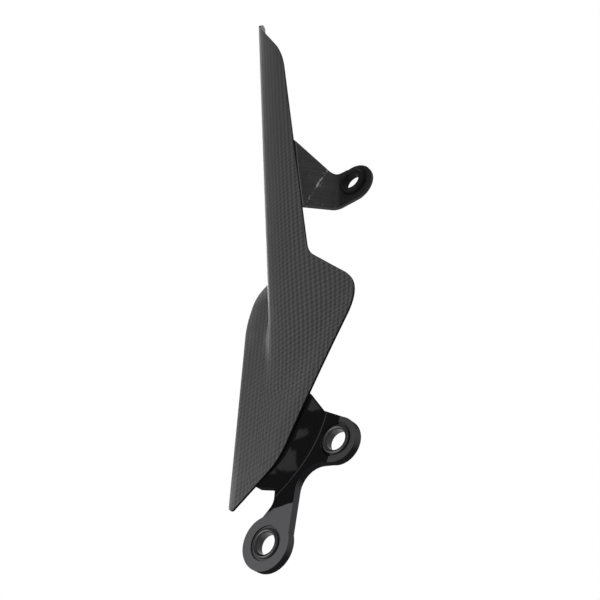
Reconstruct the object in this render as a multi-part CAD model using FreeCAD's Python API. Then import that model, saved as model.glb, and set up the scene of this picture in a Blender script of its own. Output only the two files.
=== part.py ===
import FreeCAD, Part
import math
import os

# Motorcycle chain guard, left side, for the upper run of the chain.
# Millimetres. +X is forward, +Y is outboard, +Z is up.
# The origin is on the front eyelet's axis, half way through the bracket plate.

V = FreeCAD.Vector

# Bracket plate and its two ears
plate_thickness = 4.0
front_ear_radius = 12.0
lower_ear_radius = 10.2
lower_eyelet_x = -35.6
lower_eyelet_z = -38.0

# Rubber bushes in the ears
bush_bore_radius = 4.75
bush_wall = 1.15
bush_bead_radius = 6.6
bush_bead_height = 1.35
bush_bore_round = 1.0
bush_lip_height = 0.8
bush_lip_round = 0.6
bush_fit = 0.05
recess_radius = 7.7
recess_depth = 0.8
rear_bead_radius = 7.5
rear_bead_height = 3.5

# Laminate and the section of the long blade
laminate = 1.2
blade_face_y = -11.5
crown_start_z = -20.4
crown_radius = 70.0
crown_turn = 22.2
ridge_radius = 9.0
wall_turn = 82.0
flange_depth = 17.0

# Front panel: a slightly twisted sheet that leans inboard and opens forward
panel_x = -69.0
panel_y = -10.2
panel_z = 3.0
panel_rise = 0.176
panel_lean = 0.26
panel_twist_length = 909.0

# How softly the blade runs into the panel, below its ridge and at the foot of its wall
crease_blend = 3.5
foot_blend = 5.0
foot_start_z = 1.0
foot_full_z = 9.0
foot_full_x = -125.0
foot_end_x = -100.0

# In front of the flange's end the wall leans back as it sinks into the panel
fading_wall_turn = 48.0
steep_end_x = -140.0
fading_start_x = -114.0

# The wall starts at the top of the ridge, and the outline's upper heights follow it
crown_rise = crown_radius * math.sin(math.radians(crown_turn))
ridge_rise = ridge_radius * (math.sin(math.radians(wall_turn)) - math.sin(math.radians(crown_turn)))
ridge_top_z = crown_start_z + crown_rise + ridge_rise

# Outline of the shell from the side: corners (x, z) and the radius of each
wall_clearance = 1.4
tip_drop = 2.1
tail_height = 18.2
tail_knee_height = 12.9
wall_clear_z = ridge_top_z + wall_clearance
tip_x = -353.0
tip_z = ridge_top_z - tip_drop
tail_z = ridge_top_z + tail_height
tail_knee_z = ridge_top_z + tail_knee_height
shell_outline = [
    (-372.0, wall_clear_z, 0.0),
    (-372.0, tip_z, 0.0),
    (tip_x, tip_z, 0.0),
    (-309.3, -11.4, 70.0),
    (-153.8, -21.0, 15.0),
    (-117.7, -53.5, 24.0),
    (-38.9, -4.9, 22.0),
    (-26.3, tail_z, 3.0),
    (-139.0, tail_z, 45.0),
    (-155.5, tail_knee_z, 14.0),
    (-161.5, wall_clear_z, 0.0),
]

# The flange runs on rearward past the blade's tip, cut on a slant seen from above
tip_y = -19.2
tip_sweep = 1.25
tip_round = 2.0

# Bracket root: a slightly twisted face that dips from the ears to the back of the panel
root_level = 4.23
root_rise = 0.240
root_lean = 0.206
root_twist_length = 610.0
seat_margin = 1.0

# Outline of the bracket: the root is glued behind the panel, the web joins the ears
bracket_outline = [
    (-71.5, -18.6, 4.0),
    (-52.5, -31.4, 12.0),
    (-44.5, -42.9, 0.0),
    (lower_eyelet_x, lower_eyelet_z, 0.0),
    (-25.6, -36.5, 0.0),
    (-30.0, -18.8, 11.0),
    (-1.5, -12.0, 0.0),
    (0.0, 0.0, 0.0),
    (-11.2, 4.2, 0.0),
    (-17.0, -4.3, 5.0),
    (-25.2, -4.0, 4.5),
    (-32.3, 10.5, 5.0),
    (-39.0, 16.0, 4.0),
    (-50.0, 10.0, 8.0),
    (-74.0, -13.0, 5.0),
]

# Rear tab, glued inside the blade, with an ear that hangs inboard
tab_thickness = 1.8
tab_ear_y = -31.5
tab_ear_x = -202.9
tab_ear_z = -40.0
tab_ear_radius = 11.1
tab_rear_x = -245.0
tab_front_x = -180.0
tab_foot_top_z = -3.0
tab_foot_low_z = -17.0
tab_root_z = -15.0
tab_rear_bend_z = -33.3
tab_front_bend_z = -27.6
tab_bend_radius = 5.0
tab_outline = [
    (-237.0, tab_foot_top_z, 0.0),
    (-235.9, -15.4, 4.0),
    (-214.0, -28.9, 4.0),
    (-214.0, -37.0, 0.0),
    (tab_ear_x, tab_ear_z, 0.0),
    (-191.8, -40.0, 0.0),
    (-191.3, -29.0, 0.0),
    (-189.8, -15.0, 3.0),
    (-189.2, tab_foot_top_z, 0.0),
]

# Adhesive line between the shell and what is glued to it
glue_line = 0.15

# Reach of the cutting shapes, well clear of the part
far_rear_x = -420.0
far_front_x = 60.0
far_in_y = -90.0
far_out_y = 40.0
far_down_z = -80.0
far_up_z = 60.0


def smooth_step(value):
    clamped = min(max(value, 0.0), 1.0)
    return clamped * clamped * (3.0 - 2.0 * clamped)


def smooth_max(first, second, blend):
    overlap = max(blend - abs(first - second), 0.0) / blend
    return max(first, second) + overlap * overlap * blend / 4.0


def ridge_places(last_turn):
    """Where the crown ends, where the ridge is centred and where the wall starts."""
    first = math.radians(crown_turn)
    steep = math.radians(last_turn)
    crown_end_z = crown_start_z + crown_radius * math.sin(first)
    centre_z = crown_end_z - ridge_radius * math.sin(first)
    centre_y = blade_face_y - crown_radius + (crown_radius - ridge_radius) * math.cos(first)
    wall_z = centre_z + ridge_radius * math.sin(steep)
    wall_y = centre_y + ridge_radius * math.cos(steep)
    return crown_end_z, centre_z, centre_y, wall_z, wall_y


def blade_y(x, z):
    """Outer face of the blade: flat at its lower edge, crowned, then turned inboard over the ridge."""
    fading = smooth_step((x - steep_end_x) / (fading_start_x - steep_end_x))
    turn = wall_turn + (fading_wall_turn - wall_turn) * fading
    crown_end_z, centre_z, centre_y, wall_z, wall_y = ridge_places(turn)
    if z <= crown_start_z:
        return blade_face_y
    if z <= crown_end_z:
        return blade_face_y - crown_radius + math.sqrt(crown_radius ** 2 - (z - crown_start_z) ** 2)
    if z <= wall_z:
        return centre_y + math.sqrt(ridge_radius ** 2 - (z - centre_z) ** 2)
    return wall_y - (z - wall_z) * math.tan(math.radians(turn))


def panel_face_y(x, z):
    """Outer face of the front panel."""
    along = x - panel_x
    up = z - panel_z
    return panel_y + panel_rise * along - panel_lean * up - along * up / panel_twist_length


def root_face_y(x, z):
    """Outer face of the bracket's root."""
    return root_level + root_rise * x - root_lean * z + x * z / root_twist_length


def shell_y(x, z):
    """Outer face of the shell: the blade stands out of the panel and fades into it."""
    softness = smooth_step((z - foot_start_z) / (foot_full_z - foot_start_z))
    softness *= smooth_step((foot_end_x - x) / (foot_end_x - foot_full_x))
    blend = crease_blend + (foot_blend - crease_blend) * softness
    below_flange_y = blade_face_y - flange_depth - foot_blend
    face = smooth_max(panel_face_y(x, z), blade_y(x, z), blend)
    return smooth_max(face, below_flange_y, crease_blend)


def spread(start, end, spacing):
    """Even steps from start up to, and without, end."""
    count = max(int(round((end - start) / spacing)), 1)
    return [start + (end - start) * index / count for index in range(count)]


def section_places():
    """Where sections are taken along the guard, closer where the blade fades into the panel."""
    rear_x = -376.0
    fade_start_x = -172.0
    fade_end_x = -60.0
    front_x = -6.0
    blade_spacing = 10.0
    fade_spacing = 5.0
    panel_spacing = 9.0
    places = spread(rear_x, fade_start_x, blade_spacing)
    places += spread(fade_start_x, fade_end_x, fade_spacing)
    return places + spread(fade_end_x, front_x, panel_spacing) + [front_x]


def section_heights():
    """Heights of the points in each section, closer over the ridge and at the foot of the wall."""
    low_z = -64.0
    wall_height = 25.0
    wall_steps = 12
    ridge_steps = 10
    low_spacing = 7.0
    crown_spacing = 3.5
    crown_end_z, centre_z, centre_y, wall_z, wall_y = ridge_places(wall_turn)
    crown = spread(crown_start_z, crown_end_z, crown_spacing)
    turns = [crown_turn + (wall_turn - crown_turn) * step / ridge_steps for step in range(ridge_steps)]
    ridge = [centre_z + ridge_radius * math.sin(math.radians(turn)) for turn in turns]
    wall = [wall_z + wall_height * (step / wall_steps) ** 2 for step in range(wall_steps + 1)]
    return spread(low_z, crown_start_z, low_spacing) + crown + ridge + wall


def body_under(depth):
    """Everything inboard of the shell's outer face, moved in by depth."""
    reach = 0.01
    rows = []
    for x in section_places():
        row = []
        for z in section_heights():
            slope_x = (shell_y(x + reach, z) - shell_y(x - reach, z)) / (2.0 * reach)
            slope_z = (shell_y(x, z + reach) - shell_y(x, z - reach)) / (2.0 * reach)
            outward = V(-slope_x, 1.0, -slope_z).normalize()
            row.append(V(x, shell_y(x, z), z) - outward * depth)
        rows.append(row)
    surface = Part.BSplineSurface()
    surface.interpolate(rows)
    return surface.toShape().extrude(V(0, far_in_y, 0))


def ruled_body(face_y, depth, reach_y):
    """A straight-ruled face, moved in by depth and extruded by reach_y."""
    sides = []
    for z in (far_down_z, far_up_z):
        ends = [V(x, face_y(x, z) - depth, z) for x in (far_rear_x, far_front_x)]
        sides.append(Part.LineSegment(ends[0], ends[1]).toShape())
    return Part.makeRuledSurface(sides[0], sides[1]).extrude(V(0, reach_y, 0))


def rounded_edges(points, radii, closed):
    """Straight edges through points, with a tangent arc at each corner that has a radius."""
    count = len(points)
    starts = []
    ends = []
    edges = []
    for index in range(count):
        corner = points[index]
        inside = closed or 0 < index < count - 1
        if radii[index] == 0.0 or not inside:
            starts.append(corner)
            ends.append(corner)
            continue
        back = (points[index - 1] - corner).normalize()
        ahead = (points[(index + 1) % count] - corner).normalize()
        half = back.getAngle(ahead) / 2.0
        tangent = radii[index] / math.tan(half)
        sagitta = radii[index] / math.sin(half) - radii[index]
        starts.append(corner + back * tangent)
        ends.append(corner + ahead * tangent)
        middle = corner + (back + ahead).normalize() * sagitta
        edges.append(Part.Arc(starts[-1], middle, ends[-1]).toShape())
    last = count if closed else count - 1
    for index in range(last):
        edges.append(Part.LineSegment(ends[index], starts[(index + 1) % count]).toShape())
    return Part.Wire(Part.__sortEdges__(edges))


def outline_prism(corners, low_y, high_y, grow=0.0):
    """A prism along Y with the given outline, grown outward if asked."""
    points = [V(x, low_y, z) for x, z, radius in corners]
    wire = rounded_edges(points, [radius for x, z, radius in corners], True)
    face = Part.Face(wire)
    if grow > 0.0:
        face = face.makeOffset2D(grow)
    return face.extrude(V(0, high_y - low_y, 0))


def disc(x, z, radius, low_y, high_y):
    """A cylinder along Y."""
    return Part.makeCylinder(radius, high_y - low_y, V(x, low_y, z), V(0, 1, 0))


def block(low, high):
    """A box between two corners."""
    size = high - low
    return Part.makeBox(size.x, size.y, size.z, low)


def make_shell():
    """The outline cut from the space between the outer face and the same face one laminate deeper."""
    blank = outline_prism(shell_outline, far_in_y / 2.0, far_out_y)
    shell = blank.common(body_under(0.0)).cut(body_under(laminate))
    front_x = shell_outline[-1][0]
    inner_y = blade_face_y - flange_depth
    outer_y = far_out_y / 2.0
    ends = [(front_x, outer_y), (tip_x + tip_sweep * (outer_y - tip_y), outer_y),
            (tip_x + tip_sweep * (inner_y - tip_y), inner_y), (front_x, inner_y)]
    corners = [V(x, y, far_down_z) for x, y in ends]
    plan = Part.Face(rounded_edges(corners, [0.0, 0.0, tip_round, 0.0], True))
    plan = plan.extrude(V(0, 0, far_up_z - far_down_z))
    front = block(V(front_x, far_in_y, far_down_z), V(far_front_x, far_out_y, far_up_z))
    return shell.common(plan.fuse(front)).removeSplitter()


def make_bracket():
    """A bent plate: its root lies behind the panel and its ears stand square to Y."""
    outer_y = plate_thickness / 2.0
    blank = outline_prism(bracket_outline, far_in_y / 2.0, outer_y)
    behind = block(V(far_rear_x, far_in_y, far_down_z), V(far_front_x, -outer_y, far_up_z))
    behind = behind.common(ruled_body(root_face_y, plate_thickness * root_slope(), far_in_y))
    bracket = blank.common(ruled_body(root_face_y, 0.0, far_in_y)).cut(behind)
    over_panel = outline_prism(shell_outline, far_in_y / 2.0, far_out_y, seat_margin)
    panel_back = ruled_body(panel_face_y, glue_line + laminate * root_slope(), -far_in_y)
    bracket = bracket.cut(over_panel.common(panel_back))
    for x, z, radius in ears():
        bracket = bracket.fuse(disc(x, z, radius, -outer_y, outer_y))
    bracket = bracket.removeSplitter()
    for x, z, radius in ears():
        bracket = bracket.cut(disc(x, z, ear_hole_radius(), far_in_y, far_out_y))
        bracket = bracket.cut(disc(x, z, recess_radius, outer_y - recess_depth, far_out_y))
    return bracket.removeSplitter()


def root_slope():
    """How much longer a distance is along Y than square to the leaning panel."""
    return math.sqrt(1.0 + panel_rise ** 2 + panel_lean ** 2)


def ear_hole_radius():
    return bush_bore_radius + bush_wall + bush_fit


def ears():
    """Places and radii of the bracket's two ears."""
    return [(0.0, 0.0, front_ear_radius), (lower_eyelet_x, lower_eyelet_z, lower_ear_radius)]


def quarter_turn(centre_r, centre_y, radius, start_degrees, bevels):
    """Points of a rounded corner, a quarter turn clockwise in short bevels, as (radius, y)."""
    points = []
    for step in range(bevels + 1):
        turn = math.radians(start_degrees - 90.0 * step / bevels)
        points.append((centre_r + radius * math.cos(turn), centre_y + radius * math.sin(turn)))
    return points


def make_bush(x, z, ear_in_y, ear_out_y, bead_radius, bead_height):
    """A rubber bush: a waist through the ear, a rounded bead outboard and a low lip inboard."""
    out_y = ear_out_y + bush_fit
    in_y = ear_in_y - bush_fit
    top_y = out_y + bead_height
    low_y = in_y - bush_lip_height
    crest_radius = bush_bore_radius + bush_bore_round
    bead_round = bead_radius - crest_radius
    lip_radius = bush_bead_radius - bush_lip_round
    profile = quarter_turn(crest_radius, top_y - bush_bore_round, bush_bore_round, 180.0, 2)
    profile += quarter_turn(crest_radius, top_y - bead_round, bead_round, 90.0, 2)[1:]
    profile += [(bead_radius, out_y), (bush_bore_radius + bush_wall, out_y)]
    profile += [(bush_bore_radius + bush_wall, in_y), (bush_bead_radius, in_y)]
    profile += quarter_turn(lip_radius, low_y + bush_lip_round, bush_lip_round, 0.0, 1)
    profile += quarter_turn(crest_radius, low_y + bush_bore_round, bush_bore_round, 270.0, 1)
    points = [V(x + radius, y, z) for radius, y in profile]
    face = Part.Face(Part.makePolygon(points + points[:1]))
    return face.revolve(V(x, 0, z), V(0, 1, 0), 360.0)


def tab_foot_y(z):
    """Outboard side of the tab's foot, against the blade's inner face."""
    inner_radius = crown_radius - laminate - glue_line
    return blade_face_y - crown_radius + math.sqrt(inner_radius ** 2 - (z - crown_start_z) ** 2)


def tab_planes():
    """Outboard faces of the tab's foot, slope and ear, each as a point and an outward direction."""
    foot_top = V(tab_ear_x, tab_foot_y(tab_foot_top_z), tab_foot_top_z)
    foot_low = V(tab_ear_x, tab_foot_y(tab_foot_low_z), tab_foot_low_z)
    share = (tab_foot_top_z - tab_root_z) / (tab_foot_top_z - tab_foot_low_z)
    root = foot_top + (foot_low - foot_top) * share
    bend_rise = (tab_front_bend_z - tab_rear_bend_z) / (tab_front_x - tab_rear_x)
    bend = V(tab_ear_x, tab_ear_y, tab_rear_bend_z + bend_rise * (tab_ear_x - tab_rear_x))
    foot_out = (foot_top - foot_low).cross(V(1, 0, 0)).normalize()
    slope_out = (root - bend).cross(V(1, 0, bend_rise)).normalize()
    return [(root, foot_out), (bend, slope_out), (bend, V(0, 1, 0))]


def meet(x, first, second):
    """Where two planes cross at x; a plane is a point and a direction."""
    first_reach = first[0].dot(first[1]) - first[1].x * x
    second_reach = second[0].dot(second[1]) - second[1].x * x
    scale = first[1].y * second[1].z - first[1].z * second[1].y
    y = (first_reach * second[1].z - second_reach * first[1].z) / scale
    z = (first[1].y * second_reach - second[1].y * first_reach) / scale
    return V(x, y, z)


def folded_body(depth, root_radius, bend_radius):
    """Everything inboard of the tab's folded outboard side, moved in by depth."""
    foot, slope, ear = [(point - outward * depth, outward) for point, outward in tab_planes()]
    top = (V(0, 0, far_up_z), V(0, 0, 1))
    bottom = (V(0, 0, far_down_z), V(0, 0, 1))
    inboard = (V(0, far_in_y, 0), V(0, 1, 0))
    ring = [top, foot, slope, ear, bottom, inboard]
    sections = []
    for x in (tab_rear_x, tab_front_x):
        sections.append([meet(x, ring[index - 1], ring[index]) for index in range(len(ring))])
    rear, front = sections
    faces = [Part.Face(Part.makePolygon(section + section[:1])) for section in sections]
    for index in range(len(ring)):
        loop = [rear[index - 1], rear[index], front[index], front[index - 1], rear[index - 1]]
        faces.append(Part.Face(Part.makePolygon(loop)))
    body = Part.Solid(Part.makeShell(faces))
    for fold, radius in ((2, root_radius), (3, bend_radius)):
        middle = (rear[fold] + front[fold]) / 2.0
        edge = min(body.Edges, key=lambda line: line.CenterOfMass.distanceToPoint(middle))
        body = body.makeFillet(radius, [edge])
    return body


def make_tab():
    """A folded strip: a foot along the blade's inner face, a slope inboard and a hanging ear."""
    strip = folded_body(0.0, tab_bend_radius, tab_bend_radius)
    inner_root_radius = tab_bend_radius - tab_thickness
    strip = strip.cut(folded_body(tab_thickness, inner_root_radius, tab_bend_radius + tab_thickness))
    blank = outline_prism(tab_outline, far_in_y, far_out_y)
    blank = blank.fuse(disc(tab_ear_x, tab_ear_z, tab_ear_radius, far_in_y, far_out_y))
    tab = strip.common(blank)
    return tab.cut(disc(tab_ear_x, tab_ear_z, ear_hole_radius(), far_in_y, far_out_y)).removeSplitter()


os.makedirs("parts", exist_ok=True)
seat_y = plate_thickness / 2.0
pieces = {
    "guard_shell": make_shell(),
    "front_bracket": make_bracket(),
    "front_bush": make_bush(0.0, 0.0, -seat_y, seat_y - recess_depth, bush_bead_radius, bush_bead_height),
    "lower_bush": make_bush(lower_eyelet_x, lower_eyelet_z, -seat_y, seat_y - recess_depth,
                            bush_bead_radius, bush_bead_height),
    "rear_tab": make_tab(),
    "rear_bush": make_bush(tab_ear_x, tab_ear_z, tab_ear_y - tab_thickness, tab_ear_y,
                           rear_bead_radius, rear_bead_height),
}
for name, shape in pieces.items():
    solids = shape.Solids
    box = shape.optimalBoundingBox(False)
    print(name, len(solids), "solid", shape.isValid(), round(shape.Volume, 1),
          [round(v, 2) for v in (box.XMin, box.XMax, box.YMin, box.YMax, box.ZMin, box.ZMax)])
    solids[0].exportStep("parts/" + name + ".step")
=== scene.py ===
# %% [markdown]
# # A carbon chain guard for a motorcycle
# The guard is a thin moulded shell of woven carbon. A gloss black bracket is glued
# behind its front panel, a rougher folded tab is glued inside the blade, and three
# rubber bushes sit in their eyelets. The solids come from the CAD frame. This lesson
# gives them edges, cloth, varnish, light and a camera.

import math

import bmesh
import bpy
from mathutils import Matrix, Vector


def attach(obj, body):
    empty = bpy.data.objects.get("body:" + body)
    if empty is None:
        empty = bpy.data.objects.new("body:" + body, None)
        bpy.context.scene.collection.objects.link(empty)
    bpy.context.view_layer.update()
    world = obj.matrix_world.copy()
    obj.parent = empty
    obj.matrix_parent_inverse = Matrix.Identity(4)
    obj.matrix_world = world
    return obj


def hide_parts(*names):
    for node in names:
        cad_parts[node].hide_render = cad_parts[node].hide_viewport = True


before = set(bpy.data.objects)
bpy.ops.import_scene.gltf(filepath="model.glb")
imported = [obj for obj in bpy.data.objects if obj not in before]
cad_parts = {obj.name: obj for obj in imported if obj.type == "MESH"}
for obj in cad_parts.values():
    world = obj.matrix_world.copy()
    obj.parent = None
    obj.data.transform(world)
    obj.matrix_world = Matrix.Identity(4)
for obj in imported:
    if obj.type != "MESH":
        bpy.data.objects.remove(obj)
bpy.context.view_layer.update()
print("CAD nodes:", sorted(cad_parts))

# %% [markdown]
# The work is done in metres, but the real thing is measured in millimetres, so one
# value turns one into the other. The cloth is a plain weave: each tow, a flat ribbon
# of fibres, is 2 mm wide and passes over one tow and under the next.

# %% Measures of the real thing
MM = 0.001
TOW = 2.0 * MM
CLOTH_TURN = math.radians(45.0)
FRONT_EYELET = (0.0, 0.0)
LOWER_EYELET = (-35.6 * MM, -38.0 * MM)
REAR_EYELET = (-202.9 * MM, -40.0 * MM)
print("tow width in mm:", TOW / MM)

# %% [markdown]
# A colour is easiest to choose as a hex value, as a picture editor shows it. The
# renderer needs linear light, so one function turns the one into the other.

# %% Colours from hex


def linear(hex_colour):
    """An sRGB hex value such as "#404142" as a linear colour with alpha."""
    channels = []
    for start in (1, 3, 5):
        value = int(hex_colour[start:start + 2], 16) / 255.0
        low = value / 12.92
        high = ((value + 0.055) / 1.055) ** 2.4
        channels.append(low if value <= 0.04045 else high)
    return (*channels, 1.0)


print("mid grey in linear light:", [round(value, 3) for value in linear("#808080")])

# %% [markdown]
# A material is a small graph of nodes. Two helpers keep the graph short: one starts
# an empty material with its shader, the other adds any node with its settings and
# the links that come into it. A third gives a piece its materials.

# %% Helpers for materials


def add_node(material, kind, settings=None, inputs=None):
    """Adds one node: settings are its own properties, inputs are values or sockets."""
    node = material.node_tree.nodes.new(kind)
    for name, value in (settings or {}).items():
        setattr(node, name, value)
    for name, value in (inputs or {}).items():
        if isinstance(value, bpy.types.NodeSocket):
            material.node_tree.links.new(value, node.inputs[name])
        else:
            node.inputs[name].default_value = value
    return node


def start_material(name, shader_inputs):
    """A new material with one Principled shader joined to its output."""
    material = bpy.data.materials.new(name)
    material.use_nodes = True
    material.node_tree.nodes.clear()
    shader = add_node(material, "ShaderNodeBsdfPrincipled", inputs=shader_inputs)
    add_node(material, "ShaderNodeOutputMaterial", inputs={"Surface": shader.outputs["BSDF"]})
    return material, shader


def dress(piece, *materials):
    """Gives the piece these materials. With more than one, its faces already say which."""
    numbers = [polygon.material_index for polygon in piece.data.polygons]
    piece.data.materials.clear()
    for material in materials:
        piece.data.materials.append(material)
    for polygon, number in zip(piece.data.polygons, numbers):
        polygon.material_index = number if len(materials) > 1 else 0
    print(piece.name, "wears", [material.name for material in materials])


print("helpers ready")

# %% [markdown]
# ## The shell's edges and its cloth
# The CAD shell is exact, but its edges are knife sharp and its mesh is loose
# triangles. A moulded laminate has a trimmed edge with its corners broken. A copy of
# the mesh is joined up, its sharp edges get a narrow bevel, and the bevel catches
# the thin line of light that shows where the laminate ends.
#
# The trimmed edge is cut through the cloth, so it shows no weave. The outline was cut
# straight across the guard and the tip and flange straight down, so a cut face has
# no Y or no Z in its normal. The blade's flat foot has no Z either, but it has no X
# and lies far outboard, which tells it from the cuts.

# %% Merge a copy of a CAD node and break its edges
SKIN, CUT = 0, 1
STRAIGHT = 0.03
SLANTED = 0.3
FLANGE_END = -27.0 * MM
JOINING = 0.002 * MM
FLATNESS = math.radians(0.6)
FOLD_LEAST = math.radians(10.0)
FOLD_SEGMENTS = 3
SIDEWAYS = 0.85
SHARP = math.radians(35.0)
SHELL_EDGE = 0.28 * MM


def mark_cut_edge(work):
    """Numbers every face SKIN or CUT by its normal."""
    for face in work.faces:
        across_outline = abs(face.normal.y) < STRAIGHT
        upright = abs(face.normal.z) < STRAIGHT
        at_tip = abs(face.normal.x) > SLANTED or face.calc_center_median().y < FLANGE_END
        face.material_index = CUT if across_outline or (upright and at_tip) else SKIN
    cut = sum(face.calc_area() for face in work.faces if face.material_index == CUT)
    print("cut edge:", round(cut * 1e4, 1), "cm2")


def soften_folds(work, width):
    """Rounds the shallow folds between faces that both look outboard or inboard."""
    folds = [edge for edge in work.edges if len(edge.link_faces) == 2
             and edge.calc_face_angle() > FOLD_LEAST
             and all(abs(face.normal.y) > SIDEWAYS for face in edge.link_faces)]
    bmesh.ops.bevel(work, geom=folds, offset=width, segments=FOLD_SEGMENTS, affect="EDGES")
    print(len(folds), "fold edges rounded")


def dressed_copy(node, name, bevel_width, segments=2, cut_edges=False,
                 flat_faces=True, fold_width=0.0):
    """A joined copy of a CAD node with narrow bevels on its sharp edges."""
    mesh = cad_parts[node].data.copy()
    piece = bpy.data.objects.new(name, mesh)
    bpy.context.collection.objects.link(piece)
    work = bmesh.new()
    work.from_mesh(mesh)
    bmesh.ops.remove_doubles(work, verts=work.verts, dist=JOINING)
    bmesh.ops.dissolve_degenerate(work, edges=work.edges, dist=JOINING)
    bmesh.ops.dissolve_limit(work, angle_limit=FLATNESS, verts=work.verts, edges=work.edges)
    if cut_edges:
        mark_cut_edge(work)
    if fold_width > 0.0:
        soften_folds(work, fold_width)
    work.to_mesh(mesh)
    work.free()
    bpy.ops.object.select_all(action="DESELECT")
    piece.select_set(True)
    bpy.context.view_layer.objects.active = piece
    bevel = piece.modifiers.new("broken edges", "BEVEL")
    bevel.limit_method = "ANGLE"
    bevel.angle_limit = SHARP
    bevel.width = bevel_width
    bevel.segments = segments
    bevel.use_clamp_overlap = True
    if cut_edges:
        mesh.materials.append(None)
        mesh.materials.append(None)
        bevel.material = CUT
    bpy.ops.object.modifier_apply(modifier=bevel.name)
    bpy.ops.object.shade_smooth_by_angle(angle=SHARP)
    if flat_faces:
        flat = piece.modifiers.new("flat faces stay flat", "WEIGHTED_NORMAL")
        flat.keep_sharp = True
        bpy.ops.object.modifier_apply(modifier=flat.name)
    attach(piece, "root")
    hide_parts(node)
    print(name, "has", len(mesh.polygons), "faces")
    return piece


shell = dressed_copy("guard_shell", "moulded_shell", SHELL_EDGE, cut_edges=True, flat_faces=False)

# %% [markdown]
# ## Laying the cloth
# Cloth bends over a ridge without stretching, so a pattern that is projected from
# the side would be squeezed there. The UV map is measured like a tailor would: along
# the guard for U, and with a tape round the section for V. Up to the crown the tape
# runs straight up, then it follows two arcs, and at last it goes inboard on the
# flange.

# %% A tape round the section
CROWN_START = -20.4 * MM
CROWN_RADIUS = 70.0 * MM
CROWN_TURN = math.radians(22.2)
RIDGE_RADIUS = 9.0 * MM
WALL_TURN = math.radians(82.0)
BLADE_FACE = -11.5 * MM
STEP_PLACE = -161.5 * MM

CROWN_END = CROWN_START + CROWN_RADIUS * math.sin(CROWN_TURN)
RIDGE_CENTRE = CROWN_END - RIDGE_RADIUS * math.sin(CROWN_TURN)
WALL_START = RIDGE_CENTRE + RIDGE_RADIUS * math.sin(WALL_TURN)
RIDGE_DEPTH = BLADE_FACE - CROWN_RADIUS + (CROWN_RADIUS - RIDGE_RADIUS) * math.cos(CROWN_TURN)
WALL_DEPTH = RIDGE_DEPTH + RIDGE_RADIUS * math.cos(WALL_TURN)


def tape(height, depth, on_flange):
    """Distance round the section from the foot of the crown, in metres."""
    if height <= CROWN_START:
        return height - CROWN_START
    if height <= CROWN_END:
        return CROWN_RADIUS * math.asin((height - CROWN_START) / CROWN_RADIUS)
    length = CROWN_RADIUS * CROWN_TURN
    ridge_turn = math.asin(min((height - RIDGE_CENTRE) / RIDGE_RADIUS, math.sin(WALL_TURN)))
    length += RIDGE_RADIUS * (ridge_turn - CROWN_TURN)
    if height <= WALL_START:
        return length
    if on_flange:
        return length + max(WALL_DEPTH - depth, 0.0) / math.sin(WALL_TURN)
    return length + height - WALL_START


def lay_cloth(piece):
    """Writes a UV map in metres of cloth."""
    mesh = piece.data
    layer = mesh.uv_layers.new(name="cloth")
    for polygon in mesh.polygons:
        on_flange = polygon.center.x < STEP_PLACE
        for corner in polygon.loop_indices:
            place = mesh.vertices[mesh.loops[corner].vertex_index].co
            layer.data[corner].uv = (place.x, tape(place.z, place.y, on_flange))
    to_ridge = tape(WALL_START, 0.0, True) / MM
    print(piece.name, "carries cloth; tape at the top of the ridge:", round(to_ridge, 1), "mm")


lay_cloth(shell)

# %% [markdown]
# ## Satin carbon
# Carbon fibre is nearly black, and it shines along its length only. Tows that run
# one way catch the light while those that cross them stay darker; that shine is
# painted into the colour here as the small chequer that everybody knows, a painted
# reflection. Two sine waves, one across each direction of the tows, are multiplied:
# the result swings softly from one tow on top to the other. Along the blade the
# chequer joins up into columns, with a dark gap beside each warp tow, so a wave for
# the columns, a painted shade, and one for the gaps are added. A satin clear coat
# lies over it all.

# %% The plain weave as nodes
CHEQUER_SHARE = 0.50
PAINTED_COLUMN_SHADE_SHARE = 0.10
GAP_SHARE = 0.20
TOW_DARK = "#2f2f2f"
TOW_LIGHT = "#4b4b4b"
TOW_RELIEF = 0.1 * MM


def weave_nodes(material, source, pitch, turn):
    """Returns a socket that runs from 0, dark, to 1, a tow that shines."""
    turned = add_node(material, "ShaderNodeMapping", {"vector_type": "POINT"}, {
        "Vector": source, "Rotation": (0.0, 0.0, turn), "Scale": (math.pi / pitch,) * 3})
    parts = add_node(material, "ShaderNodeSeparateXYZ", inputs={"Vector": turned.outputs["Vector"]})
    waves = []
    for axis in ("X", "Y"):
        wave = add_node(material, "ShaderNodeMath", {"operation": "SINE"}, {0: parts.outputs[axis]})
        waves.append(wave.outputs[0])
    crossing = add_node(material, "ShaderNodeMath", {"operation": "MULTIPLY"},
                        {0: waves[0], 1: waves[1]})
    # A wave down the blade adds columns of painted shade.
    down_the_blade = add_node(material, "ShaderNodeMath", {"operation": "SUBTRACT"},
                              {0: parts.outputs["X"], 1: parts.outputs["Y"]})
    painted_column_shade = add_node(material, "ShaderNodeMath", {"operation": "COSINE"},
                      {0: down_the_blade.outputs[0]})
    tow = add_node(material, "ShaderNodeMath", {"operation": "MULTIPLY"},
                   {0: waves[0], 1: waves[0]})
    shine = add_node(material, "ShaderNodeMath", {"operation": "MULTIPLY_ADD"},
                     {0: crossing.outputs[0], 1: CHEQUER_SHARE, 2: 0.5 - GAP_SHARE / 2.0})
    shine = add_node(material, "ShaderNodeMath", {"operation": "MULTIPLY_ADD"},
                     {0: painted_column_shade.outputs[0], 1: PAINTED_COLUMN_SHADE_SHARE, 2: shine.outputs[0]})
    shine = add_node(material, "ShaderNodeMath", {"operation": "MULTIPLY_ADD", "use_clamp": True},
                     {0: tow.outputs[0], 1: GAP_SHARE, 2: shine.outputs[0]})
    return shine.outputs[0]


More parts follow.
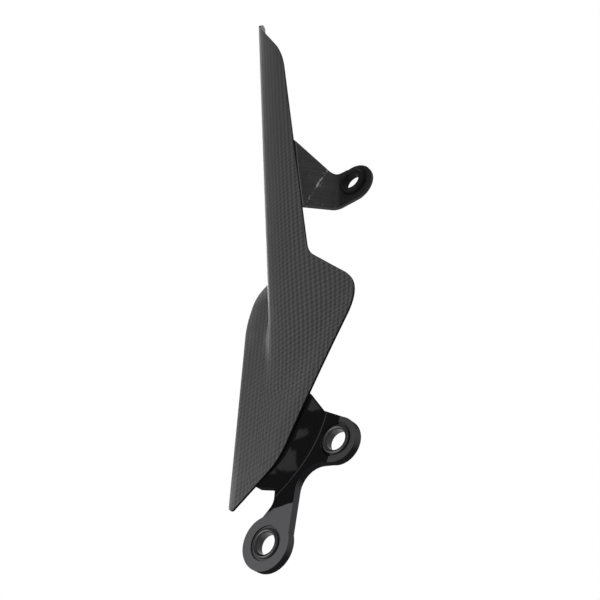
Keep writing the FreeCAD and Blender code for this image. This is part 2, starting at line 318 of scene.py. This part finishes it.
# Carbon in epoxy under a satin clear coat: a dark dielectric, IOR 1.5, that gives a
# wide soft shine instead of mirror images.
satin_carbon, carbon_shader = start_material("carbon_plain_weave_satin", {
    "Roughness": 0.42, "IOR": 1.5, "Coat Weight": 0.35, "Coat Roughness": 0.3, "Coat IOR": 1.5})
cloth_map = add_node(satin_carbon, "ShaderNodeUVMap", {"uv_map": "cloth"})
tow_shine = weave_nodes(satin_carbon, cloth_map.outputs["UV"], TOW, CLOTH_TURN)
# The tow shine is painted into the base colour: a painted reflection.
painted_tow_shine_colour = add_node(satin_carbon, "ShaderNodeMix", {"data_type": "RGBA"}, {
    "Factor": tow_shine, 6: linear(TOW_DARK), 7: linear(TOW_LIGHT)})
satin_carbon.node_tree.links.new(painted_tow_shine_colour.outputs[2], carbon_shader.inputs["Base Color"])
tow_bump = add_node(satin_carbon, "ShaderNodeBump", inputs={
    "Height": tow_shine, "Strength": 0.1, "Distance": TOW_RELIEF})
satin_carbon.node_tree.links.new(tow_bump.outputs["Normal"], carbon_shader.inputs["Normal"])

# The cut edge is bare laminate: sanded matt and black, with no weave in it.
cut_laminate, cut_shader = start_material("carbon_cut_edge", {
    "Base Color": linear("#1a1a1c"), "Roughness": 0.8, "IOR": 1.5, "Specular IOR Level": 0.02})
print("materials:", satin_carbon.name, cut_laminate.name)

dress(shell, satin_carbon, cut_laminate)

# %% [markdown]
# ## The bracket
# The bracket is a plate with a deep gloss varnish. Round its two eyelets the faces
# are satin, and their grey is a painted reflection, lighter on the front ear; the
# gloss web stays black. One material does both. A line across each ear, made a little
# uneven by noise, parts the gloss from the satin. Along the fold a fine grey line is a
# painted highlight of the bend. It runs as a shallow arc on the outer face, so its
# distance from the arc's centre tells where it is. The sawn sides of the plate have a
# matt material of their own.

# %% Gloss black with satin ears, their grey a painted reflection
BRACKET_EDGE = 0.35 * MM
BRACKET_FOLD = 0.3 * MM
bracket = dressed_copy("front_bracket", "front_bracket_plate", BRACKET_EDGE, segments=3,
                       cut_edges=True, fold_width=BRACKET_FOLD)

FRONT_GLOSS_END = -14.0 * MM
LOWER_GLOSS_SLOPE = 0.435
LOWER_GLOSS_END = -21.3 * MM
ARM_START = -25.5 * MM
CREASE_CENTRE = (-67.9 * MM, 0.0, 13.0 * MM)
CREASE_RADIUS = 50.85 * MM
CREASE_HALF_WIDTH = 0.2 * MM
VARNISH_WANDER = 0.7 * MM
WANDER_SIZE = 0.35 / MM
GLOSS_ROUGHNESS = 0.035
SATIN_ROUGHNESS = 0.5
LOOKS_OUT = 0.5

gloss_black, gloss_shader = start_material("epoxy_gloss_black_plate", {"IOR": 1.5})
plate_place = add_node(gloss_black, "ShaderNodeTexCoord")
plate_parts = add_node(gloss_black, "ShaderNodeSeparateXYZ", inputs={
    "Vector": plate_place.outputs["Object"]})
uneven = add_node(gloss_black, "ShaderNodeTexNoise", inputs={
    "Vector": plate_place.outputs["Object"], "Scale": WANDER_SIZE, "Detail": 2.0})
wander = add_node(gloss_black, "ShaderNodeMath", {"operation": "MULTIPLY_ADD"}, {
    0: uneven.outputs["Fac"], 1: 2.0 * VARNISH_WANDER, 2: -VARNISH_WANDER})
along = add_node(gloss_black, "ShaderNodeMath", {"operation": "ADD"}, {
    0: plate_parts.outputs["X"], 1: wander.outputs[0]})
front_ear_satin_and_reflection = add_node(gloss_black, "ShaderNodeMath", {"operation": "GREATER_THAN"}, {
    0: along.outputs[0], 1: FRONT_GLOSS_END})
across = add_node(gloss_black, "ShaderNodeMath", {"operation": "MULTIPLY_ADD"}, {
    0: along.outputs[0], 1: -LOWER_GLOSS_SLOPE, 2: plate_parts.outputs["Z"]})
below_line = add_node(gloss_black, "ShaderNodeMath", {"operation": "LESS_THAN"}, {
    0: across.outputs[0], 1: LOWER_GLOSS_END})
behind_arm = add_node(gloss_black, "ShaderNodeMath", {"operation": "LESS_THAN"}, {
    0: along.outputs[0], 1: ARM_START})
lower_ear_satin_and_reflection = add_node(gloss_black, "ShaderNodeMath", {"operation": "MINIMUM"}, {
    0: below_line.outputs[0], 1: behind_arm.outputs[0]})
satin_and_painted_reflection = add_node(gloss_black, "ShaderNodeMath", {"operation": "MAXIMUM"}, {
    0: front_ear_satin_and_reflection.outputs[0], 1: lower_ear_satin_and_reflection.outputs[0]})
# The ears' grey is painted reflection of the pale room, lighter on the front ear than on the lower
# one; the gloss web stays black.
painted_ear_reflection_colour = add_node(gloss_black, "ShaderNodeMix", {"data_type": "RGBA"}, {
    "Factor": front_ear_satin_and_reflection.outputs[0], 6: linear("#242425"), 7: linear("#3f3f41")})
face_colour_with_painted_reflection = add_node(gloss_black, "ShaderNodeMix", {"data_type": "RGBA"}, {
    "Factor": satin_and_painted_reflection.outputs[0], 6: linear("#121213"), 7: painted_ear_reflection_colour.outputs[2]})
face_roughness = add_node(gloss_black, "ShaderNodeMix", {"data_type": "FLOAT"}, {
    "Factor": satin_and_painted_reflection.outputs[0], 2: GLOSS_ROUGHNESS, 3: SATIN_ROUGHNESS})
# A fine grey arc along the fold on the outer face is a painted highlight of the bend's round.
side_view = add_node(gloss_black, "ShaderNodeMapping", {"vector_type": "POINT"}, {
    "Vector": plate_place.outputs["Object"], "Scale": (1.0, 0.0, 1.0)})
from_centre = add_node(gloss_black, "ShaderNodeVectorMath", {"operation": "DISTANCE"}, {
    0: side_view.outputs["Vector"], 1: CREASE_CENTRE})
on_highlight_arc = add_node(gloss_black, "ShaderNodeMath", {"operation": "COMPARE"}, {
    0: from_centre.outputs["Value"], 1: CREASE_RADIUS, 2: CREASE_HALF_WIDTH})
face_surface = add_node(gloss_black, "ShaderNodeNewGeometry")
face_normal = add_node(gloss_black, "ShaderNodeSeparateXYZ", inputs={
    "Vector": face_surface.outputs["True Normal"]})
outer_face = add_node(gloss_black, "ShaderNodeMath", {"operation": "GREATER_THAN"}, {
    0: face_normal.outputs["Y"], 1: LOOKS_OUT})
painted_fold_highlight = add_node(gloss_black, "ShaderNodeMath", {"operation": "MULTIPLY"}, {
    0: on_highlight_arc.outputs[0], 1: outer_face.outputs[0]})
plate_colour = add_node(gloss_black, "ShaderNodeMix", {"data_type": "RGBA"}, {
    "Factor": painted_fold_highlight.outputs[0], 6: face_colour_with_painted_reflection.outputs[2], 7: linear("#39393b")})
gloss_black.node_tree.links.new(plate_colour.outputs[2], gloss_shader.inputs["Base Color"])
gloss_black.node_tree.links.new(face_roughness.outputs[0], gloss_shader.inputs["Roughness"])

# The sawn sides and their broken corners are matt black. Where a side looks down and
# not rearward it is painted paler, a painted light from below, and the change is gradual.
PALE_FROM_DOWN, PALE_FULLY_DOWN = -0.75, -0.97
PALE_FROM_FORWARD, PALE_FULLY_FORWARD = -0.5, -0.1
sawn_plate, sawn_shader = start_material("sawn_plate_side", {
    "Roughness": 0.8, "IOR": 1.5, "Specular IOR Level": 0.0})
sawn_surface = add_node(sawn_plate, "ShaderNodeNewGeometry")
sawn_normal = add_node(sawn_plate, "ShaderNodeSeparateXYZ", inputs={
    "Vector": sawn_surface.outputs["Normal"]})
looking_down = add_node(sawn_plate, "ShaderNodeMapRange", inputs={
    "Value": sawn_normal.outputs["Z"], "From Min": PALE_FROM_DOWN, "From Max": PALE_FULLY_DOWN})
not_rearward = add_node(sawn_plate, "ShaderNodeMapRange", inputs={
    "Value": sawn_normal.outputs["X"],
    "From Min": PALE_FROM_FORWARD, "From Max": PALE_FULLY_FORWARD})
painted_light_on_underside = add_node(sawn_plate, "ShaderNodeMath", {"operation": "MULTIPLY"}, {
    0: looking_down.outputs["Result"], 1: not_rearward.outputs["Result"]})
sawn_colour_with_painted_light = add_node(sawn_plate, "ShaderNodeMix", {"data_type": "RGBA"}, {
    "Factor": painted_light_on_underside.outputs[0], 6: linear("#222224"), 7: linear("#4a4a4c")})
sawn_plate.node_tree.links.new(sawn_colour_with_painted_light.outputs[2], sawn_shader.inputs["Base Color"])
print("materials:", gloss_black.name, sawn_plate.name)
dress(bracket, gloss_black, sawn_plate)

# %% [markdown]
# ## The rear tab
# The tab was laid up by hand with its bag side out, so its skin is streaky and has
# pale dust and scratches in it. Only the highest peaks of a fine noise show as dust.
# Near the long scratch and in one cluster the noise is lifted, so more of its peaks
# pass. Below the fold the ear is painted darker, a painted shade. A thin pale line is
# painted on the outboard face beside the foot of the blade.

# %% The folded tab
TAB_EDGE = 0.2 * MM
TAB_FOLD = -29.5 * MM
FOLD_FADE = 1.5 * MM
STREAK_ACROSS, STREAK_ALONG = 0.9 / MM, 0.12 / MM
STREAK_RELIEF = 0.15 * MM
DUST_GRAIN = 0.9 / MM
DUST_LEAST, DUST_FULL = 0.69, 0.76
SCRATCH_SLOPE = 0.38
SCRATCH_LEVEL = 55.0 * MM
SCRATCH_CORE, SCRATCH_REACH = 0.15 * MM, 0.65 * MM
SCRATCH_LIFT = 0.16
DUST_CLUSTER = (-206.0 * MM, -24.0 * MM, -24.0 * MM)
CLUSTER_CORE, CLUSTER_REACH = 0.8 * MM, 4.5 * MM
CLUSTER_LIFT = 0.13
PALE_LINE_LEVEL = -16.75 * MM
PALE_LINE_HALF_WIDTH = 0.28 * MM
tab = dressed_copy("rear_tab", "rear_tab_strip", TAB_EDGE)

bag_side, bag_shader = start_material("carbon_bag_side", {
    "Roughness": 0.5, "IOR": 1.5, "Specular IOR Level": 0.35})
tab_place = add_node(bag_side, "ShaderNodeTexCoord")
tab_parts = add_node(bag_side, "ShaderNodeSeparateXYZ", inputs={
    "Vector": tab_place.outputs["Object"]})
brushed = add_node(bag_side, "ShaderNodeMapping", {"vector_type": "POINT"}, {
    "Vector": tab_place.outputs["Object"], "Scale": (STREAK_ACROSS, STREAK_ALONG, STREAK_ALONG)})
streaks = add_node(bag_side, "ShaderNodeTexNoise", inputs={
    "Vector": brushed.outputs["Vector"], "Scale": 1.0, "Detail": 3.0})
above_fold = add_node(bag_side, "ShaderNodeMapRange", inputs={
    "Value": tab_parts.outputs["Z"],
    "From Min": TAB_FOLD - FOLD_FADE, "From Max": TAB_FOLD + FOLD_FADE})
strip_colour = add_node(bag_side, "ShaderNodeMix", {"data_type": "RGBA"}, {
    "Factor": streaks.outputs["Fac"], 6: linear("#080809"), 7: linear("#333334")})
# Below the fold the ear is painted darker than the strip, a painted shade.
skin_colour_with_painted_ear_shade = add_node(bag_side, "ShaderNodeMix", {"data_type": "RGBA"}, {
    "Factor": above_fold.outputs["Result"], 6: linear("#151516"), 7: strip_colour.outputs[2]})

dust = add_node(bag_side, "ShaderNodeTexNoise", inputs={
    "Vector": tab_place.outputs["Object"], "Scale": DUST_GRAIN, "Detail": 3.0})
sloping = add_node(bag_side, "ShaderNodeMath", {"operation": "MULTIPLY_ADD"}, {
    0: tab_parts.outputs["X"], 1: -SCRATCH_SLOPE, 2: tab_parts.outputs["Z"]})
off_scratch = add_node(bag_side, "ShaderNodeMath", {"operation": "SUBTRACT"}, {
    0: sloping.outputs[0], 1: SCRATCH_LEVEL})
beside = add_node(bag_side, "ShaderNodeMath", {"operation": "ABSOLUTE"}, {
    0: off_scratch.outputs[0]})
on_scratch = add_node(bag_side, "ShaderNodeMapRange", inputs={
    "Value": beside.outputs[0], "From Min": SCRATCH_CORE, "From Max": SCRATCH_REACH,
    "To Min": SCRATCH_LIFT, "To Max": 0.0})
cluster = add_node(bag_side, "ShaderNodeVectorMath", {"operation": "DISTANCE"}, {
    0: tab_place.outputs["Object"], 1: DUST_CLUSTER})
in_cluster = add_node(bag_side, "ShaderNodeMapRange", inputs={
    "Value": cluster.outputs["Value"], "From Min": CLUSTER_CORE, "From Max": CLUSTER_REACH,
    "To Min": CLUSTER_LIFT, "To Max": 0.0})
dust_places = add_node(bag_side, "ShaderNodeMath", {"operation": "ADD"}, {
    0: dust.outputs["Fac"], 1: on_scratch.outputs["Result"]})
dust_places = add_node(bag_side, "ShaderNodeMath", {"operation": "ADD"}, {
    0: dust_places.outputs[0], 1: in_cluster.outputs["Result"]})
dusty = add_node(bag_side, "ShaderNodeMapRange", inputs={
    "Value": dust_places.outputs[0], "From Min": DUST_LEAST, "From Max": DUST_FULL})
strip_dust = add_node(bag_side, "ShaderNodeMath", {"operation": "MULTIPLY"}, {
    0: dusty.outputs["Result"], 1: above_fold.outputs["Result"]})
dusty_colour = add_node(bag_side, "ShaderNodeMix", {"data_type": "RGBA"}, {
    "Factor": strip_dust.outputs[0], 6: skin_colour_with_painted_ear_shade.outputs[2], 7: linear("#90908e")})
tab_surface = add_node(bag_side, "ShaderNodeNewGeometry")
tab_normal = add_node(bag_side, "ShaderNodeSeparateXYZ", inputs={
    "Vector": tab_surface.outputs["Normal"]})
outboard = add_node(bag_side, "ShaderNodeMath", {"operation": "GREATER_THAN"}, {
    0: tab_normal.outputs["Y"], 1: LOOKS_OUT})
# A thin pale line is painted on the outboard face beside the foot of the blade.
beside_blade = add_node(bag_side, "ShaderNodeMath", {"operation": "COMPARE"}, {
    0: tab_parts.outputs["Z"], 1: PALE_LINE_LEVEL, 2: PALE_LINE_HALF_WIDTH})
pale_line_beside_blade = add_node(bag_side, "ShaderNodeMath", {"operation": "MULTIPLY"}, {
    0: beside_blade.outputs[0], 1: outboard.outputs[0]})
bag_colour = add_node(bag_side, "ShaderNodeMix", {"data_type": "RGBA"}, {
    "Factor": pale_line_beside_blade.outputs[0], 6: dusty_colour.outputs[2], 7: linear("#5a5a5b")})
bag_side.node_tree.links.new(bag_colour.outputs[2], bag_shader.inputs["Base Color"])
bag_bump = add_node(bag_side, "ShaderNodeBump", inputs={
    "Height": streaks.outputs["Fac"], "Strength": 0.4, "Distance": STREAK_RELIEF})
bag_side.node_tree.links.new(bag_bump.outputs["Normal"], bag_shader.inputs["Normal"])
print("material:", bag_side.name)
dress(tab, bag_side)

# %% [markdown]
# ## Bushes
# A bush is turned from its half section: a round bead outboard, a waist that sits in
# the ear and a low lip inboard. The half section starts as a flat plane. Its corners
# are rounded, only its rim is kept, a groove is pushed in for the waist, and the rim
# is spun once round the eyelet's axis. The two bushes of the bracket are the same
# moulding, so the second is a copy.

# %% Moulded rubber bushes
BORE = 4.75 * MM
WAIST = 5.90 * MM
STEP = 0.04 * MM
CLOSE = 0.01 * MM
SEAM = 0.001 * MM
CORNER_SEGMENTS = 8
SPIN_STEPS = 64
BUSH_SHARP = math.radians(40.0)
RUBBER_GRAIN = 0.8 / MM


def pick(piece, test):
    """Selects only the vertices that pass the test, in edit mode."""
    mesh = bmesh.from_edit_mesh(piece.data)
    for part in (*mesh.faces, *mesh.edges, *mesh.verts):
        part.select = False
    chosen = [vertex for vertex in mesh.verts if test(vertex.co)]
    for vertex in chosen:
        vertex.select = True
    mesh.select_flush(True)
    bmesh.update_edit_mesh(piece.data)


def near(value, goal):
    """True where two measures are the same but for rounding."""
    return abs(value - goal) < CLOSE


def turned_bush(name, bead_radius, lip_radius, low, ear_low, ear_high, high, rounds):
    """Spins a half section, in metres. The rounds are those of bore, bead and lip."""
    bore_round, bead_round, lip_round = rounds
    bpy.ops.object.select_all(action="DESELECT")
    bpy.ops.mesh.primitive_plane_add(size=1.0)
    bush = bpy.context.active_object
    bush.name = name
    bpy.ops.object.mode_set(mode="EDIT")
    bpy.ops.mesh.select_all(action="SELECT")
    bpy.ops.transform.resize(value=(bead_radius - BORE, high - low, 1.0))
    bpy.ops.transform.translate(value=((bead_radius + BORE) / 2.0, (high + low) / 2.0, 0.0))
    corners = ((BORE, high, bore_round), (bead_radius, high, bead_round),
               (BORE, low, bore_round), (bead_radius, low, lip_round))
    for radius, height, rounding in corners:
        pick(bush, lambda place: near(place.x, radius) and near(place.y, height))
        bpy.ops.mesh.bevel(offset=rounding, segments=CORNER_SEGMENTS, affect="VERTICES",
                           profile=0.5)
    bpy.ops.mesh.select_all(action="SELECT")
    bpy.ops.mesh.delete(type="ONLY_FACE")
    for height in (ear_high, ear_high - STEP, ear_low + STEP, ear_low):
        bpy.ops.mesh.select_all(action="SELECT")
        bpy.ops.mesh.bisect(plane_co=(0.0, height, 0.0), plane_no=(0.0, 1.0, 0.0))
    waist_low, waist_high = ear_low + STEP / 2.0, ear_high - STEP / 2.0
    pick(bush, lambda place: place.x > BORE + STEP and waist_low < place.y < waist_high)
    bpy.ops.transform.translate(value=(WAIST - bead_radius, 0.0, 0.0))
    if lip_radius < bead_radius:
        lip_start = (BORE + bead_radius) / 2.0
        pick(bush, lambda place: place.x > lip_start and place.y < waist_low)
        bpy.ops.transform.translate(value=(lip_radius - bead_radius, 0.0, 0.0))
    bpy.ops.mesh.select_all(action="SELECT")
    bpy.ops.mesh.spin(steps=SPIN_STEPS, angle=2.0 * math.pi, center=(0.0, 0.0, 0.0),
                      axis=(0.0, 1.0, 0.0))
    bpy.ops.mesh.select_all(action="SELECT")
    bpy.ops.mesh.remove_doubles(threshold=SEAM)
    bpy.ops.mesh.normals_make_consistent(inside=False)
    bpy.ops.object.mode_set(mode="OBJECT")
    bpy.ops.object.shade_smooth_by_angle(angle=BUSH_SHARP)
    print(name, "has", len(bush.data.polygons), "faces")
    return bush


def seat(bush, node, eyelet, rubber):
    """Moves the mesh to its eyelet and lets it stand for the CAD bush."""
    bush.data.transform(Matrix.Translation((eyelet[0], 0.0, eyelet[1])))
    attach(bush, "root")
    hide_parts(node)
    dress(bush, rubber)


def rubber_material(name, dark, light, smooth, rough, shine):
    """Black rubber whose grain changes its grey and its roughness a little."""
    rubber, shader = start_material(name, {"IOR": 1.52, "Specular IOR Level": shine})
    place = add_node(rubber, "ShaderNodeTexCoord")
    grain = add_node(rubber, "ShaderNodeTexNoise", inputs={
        "Vector": place.outputs["Object"], "Scale": RUBBER_GRAIN, "Detail": 2.0})
    grey = add_node(rubber, "ShaderNodeMix", {"data_type": "RGBA"}, {
        "Factor": grain.outputs["Fac"], 6: linear(dark), 7: linear(light)})
    polish = add_node(rubber, "ShaderNodeMapRange", inputs={
        "Value": grain.outputs["Fac"], "To Min": smooth, "To Max": rough})
    rubber.node_tree.links.new(grey.outputs[2], shader.inputs["Base Color"])
    rubber.node_tree.links.new(polish.outputs["Result"], shader.inputs["Roughness"])
    return rubber


# The bracket's bushes are clean and shine a little. The rear one is rough, with less
# shine, and its greys are darker, a painted shade, so it hardly shows against the ear.
clean_rubber = rubber_material("rubber_moulded_black", dark="#101011", light="#1c1c1c",
                               smooth=0.28, rough=0.42, shine=0.5)
dull_rubber_painted_shade = rubber_material("rubber_dull_black_painted_shade", dark="#070708", light="#0e0e0e",
                              smooth=0.6, rough=0.7, shine=0.15)

bracket_bush = turned_bush(
    "front_bush_moulded", bead_radius=6.6 * MM, lip_radius=6.6 * MM,
    low=-2.85 * MM, ear_low=-2.05 * MM, ear_high=1.25 * MM, high=2.6 * MM,
    rounds=(1.0 * MM, 0.84 * MM, 0.6 * MM))
lower_bush = bracket_bush.copy()
lower_bush.data = bracket_bush.data.copy()
lower_bush.name = "lower_bush_moulded"
bpy.context.collection.objects.link(lower_bush)
rear_bush = turned_bush(
    "rear_bush_moulded", bead_radius=7.5 * MM, lip_radius=6.6 * MM,
    low=-34.15 * MM, ear_low=-33.35 * MM, ear_high=-31.45 * MM, high=-27.95 * MM,
    rounds=(1.0 * MM, 1.74 * MM, 0.6 * MM))
seat(bracket_bush, "front_bush", FRONT_EYELET, clean_rubber)
seat(lower_bush, "lower_bush", LOWER_EYELET, clean_rubber)
seat(rear_bush, "rear_bush", REAR_EYELET, dull_rubber_painted_shade)

# %% [markdown]
# ## The studio
# The floor lies well below the guard, because the photograph is taken from below and
# in front. The world is white where the camera or a reflection looks at it, and a
# plain grey light where it lights the part.

# %% Floor and world
FLOOR_WIDTH = 6.0
FLOOR_HEIGHT = -0.62
LIGHT_ON_PART = 0.45
WHITE_SEEN = 1.0

bpy.ops.object.select_all(action="DESELECT")
bpy.ops.mesh.primitive_plane_add(size=FLOOR_WIDTH, location=(0.0, 0.0, FLOOR_HEIGHT))
floor = bpy.context.active_object
floor.name = "studio_floor"
floor_paint, floor_shader = start_material("studio_floor_matt", {
    "Base Color": linear("#f0f0f0"), "Roughness": 0.9})
dress(floor, floor_paint)

world = bpy.data.worlds.new("studio")
bpy.context.scene.world = world
world.use_nodes = True
world.node_tree.nodes.clear()
path = add_node(world, "ShaderNodeLightPath")
seen = add_node(world, "ShaderNodeMath", {"operation": "MAXIMUM"},
                {0: path.outputs["Is Camera Ray"], 1: path.outputs["Is Glossy Ray"]})
seen = add_node(world, "ShaderNodeMath", {"operation": "MAXIMUM"},
                {0: seen.outputs[0], 1: path.outputs["Is Transmission Ray"]})
strength = add_node(world, "ShaderNodeMix", {"data_type": "FLOAT"}, {
    "Factor": seen.outputs[0], 2: LIGHT_ON_PART, 3: WHITE_SEEN})
back = add_node(world, "ShaderNodeBackground", inputs={
    "Color": linear("#ffffff"), "Strength": strength.outputs[0]})
add_node(world, "ShaderNodeOutputWorld", inputs={"Surface": back.outputs["Background"]})
print("world ready")

# %% [markdown]
# ## Lamps and flags
# One wide softbox lights the guard from outboard, and a weak one from inboard and
# behind lights its ridge. A photographer keeps black things black with flags: dark
# boards that stand where a gloss surface would mirror the white room. One flag
# stands where the bracket would mirror it. The camera doesn't see it, so it only
# shows in what it darkens.

# %% Softboxes and flags
GUARD_MIDDLE = (-0.17, -0.01, -0.01)
BRACKET_MIDDLE = (-0.03, 0.0, -0.02)


def facing(place, target):
    """The pose of a thing at place whose -Z side looks at target."""
    turn = (Vector(target) - Vector(place)).to_track_quat("-Z", "Y")
    return Matrix.Translation(Vector(place)) @ turn.to_matrix().to_4x4()


def softbox(name, place, target, size, power):
    """A square area lamp that points at target."""
    lamp_data = bpy.data.lights.new(name, "AREA")
    lamp_data.size = size
    lamp_data.energy = power
    lamp = bpy.data.objects.new(name, lamp_data)
    bpy.context.collection.objects.link(lamp)
    lamp.matrix_world = facing(place, target)
    print(name, "at", place)


def board_in_reflections(name, material):
    """A board one metre wide that only reflections see."""
    bpy.ops.object.select_all(action="DESELECT")
    bpy.ops.mesh.primitive_plane_add(size=1.0)
    board = bpy.context.active_object
    board.name = name
    board.visible_camera = False
    board.visible_shadow = False
    board.visible_diffuse = False
    dress(board, material)
    return board


flag_cloth, flag_shader = start_material("studio_flag_black_cloth", {
    "Base Color": linear("#0a0a0a"), "Roughness": 1.0, "Specular IOR Level": 0.0})
softbox("key_softbox", place=(0.22, 0.86, 0.46), target=GUARD_MIDDLE, size=0.9, power=9.2)
softbox("spine_softbox", place=(-0.67, -0.63, 0.59), target=GUARD_MIDDLE, size=0.5, power=2.4)
flag = board_in_reflections("bracket_flag", flag_cloth)
flag.data.transform(facing(place=(-0.55, 0.42, 0.38), target=BRACKET_MIDDLE))

# The gloss root also mirrors three pale things in the room. Each is a small grey
# card in front of the flag. Its stated corners are drawn a tenth of the way towards
# the bracket, so that it stands clear of the flag and covers the same part of the
# view from there.
grey_card, card_shader = start_material("studio_grey_card", {
    "Base Color": linear("#000000"), "Emission Color": linear("#727272"), "Emission Strength": 1.0})
CARD_DISTANCE = 0.9


def card(name, corners):
    """A pale four-cornered card that only reflections see. Corners are in millimetres."""
    board = board_in_reflections(name, grey_card)
    middle = Vector(BRACKET_MIDDLE)
    for number, corner in zip((0, 1, 3, 2), corners):
        board.data.vertices[number].co = middle + (Vector(corner) * MM - middle) * CARD_DISTANCE


card("large_card", ((-583, 56, 595), (-570, 119, 568), (-552, 151, 569), (-563, 90, 597)))
card("small_card", ((-590, 87, 572), (-590, 118, 560), (-574, 128, 553), (-574, 97, 565)))
card("high_card", ((-607, 52, 563), (-630, 25, 557), (-614, 85, 538), (-592, 122, 540)))

# %% [markdown]
# ## The camera
# The camera stands in front of the guard, outboard and below it, and is rolled by
# nearly a quarter turn, so the blade's tip points up in the picture.

# %% Camera
LENS = 66.0
SENSOR = 36.0
FARTHEST = 20.0
CAMERA_PLACE = (0.1886, 0.3487, -0.2534)
CAMERA_RIGHT = (0.0447, -0.5780, -0.8148)
CAMERA_BACKWARD = (0.5890, 0.6740, -0.4459)

camera_data = bpy.data.cameras.new("photo_camera")
camera_data.lens = LENS
camera_data.sensor_width = SENSOR
camera_data.clip_end = FARTHEST
camera = bpy.data.objects.new("photo_camera", camera_data)
bpy.context.collection.objects.link(camera)
right = Vector(CAMERA_RIGHT).normalized()
backward = Vector(CAMERA_BACKWARD).normalized()
upward = backward.cross(right).normalized()
right = upward.cross(backward)
turn = Matrix((right, upward, backward)).transposed().to_4x4()
camera.matrix_world = Matrix.Translation(Vector(CAMERA_PLACE)) @ turn
bpy.context.scene.camera = camera
print("camera at", [round(value, 3) for value in camera.location])

# %% Finish
bpy.context.scene.view_settings.view_transform = "Standard"
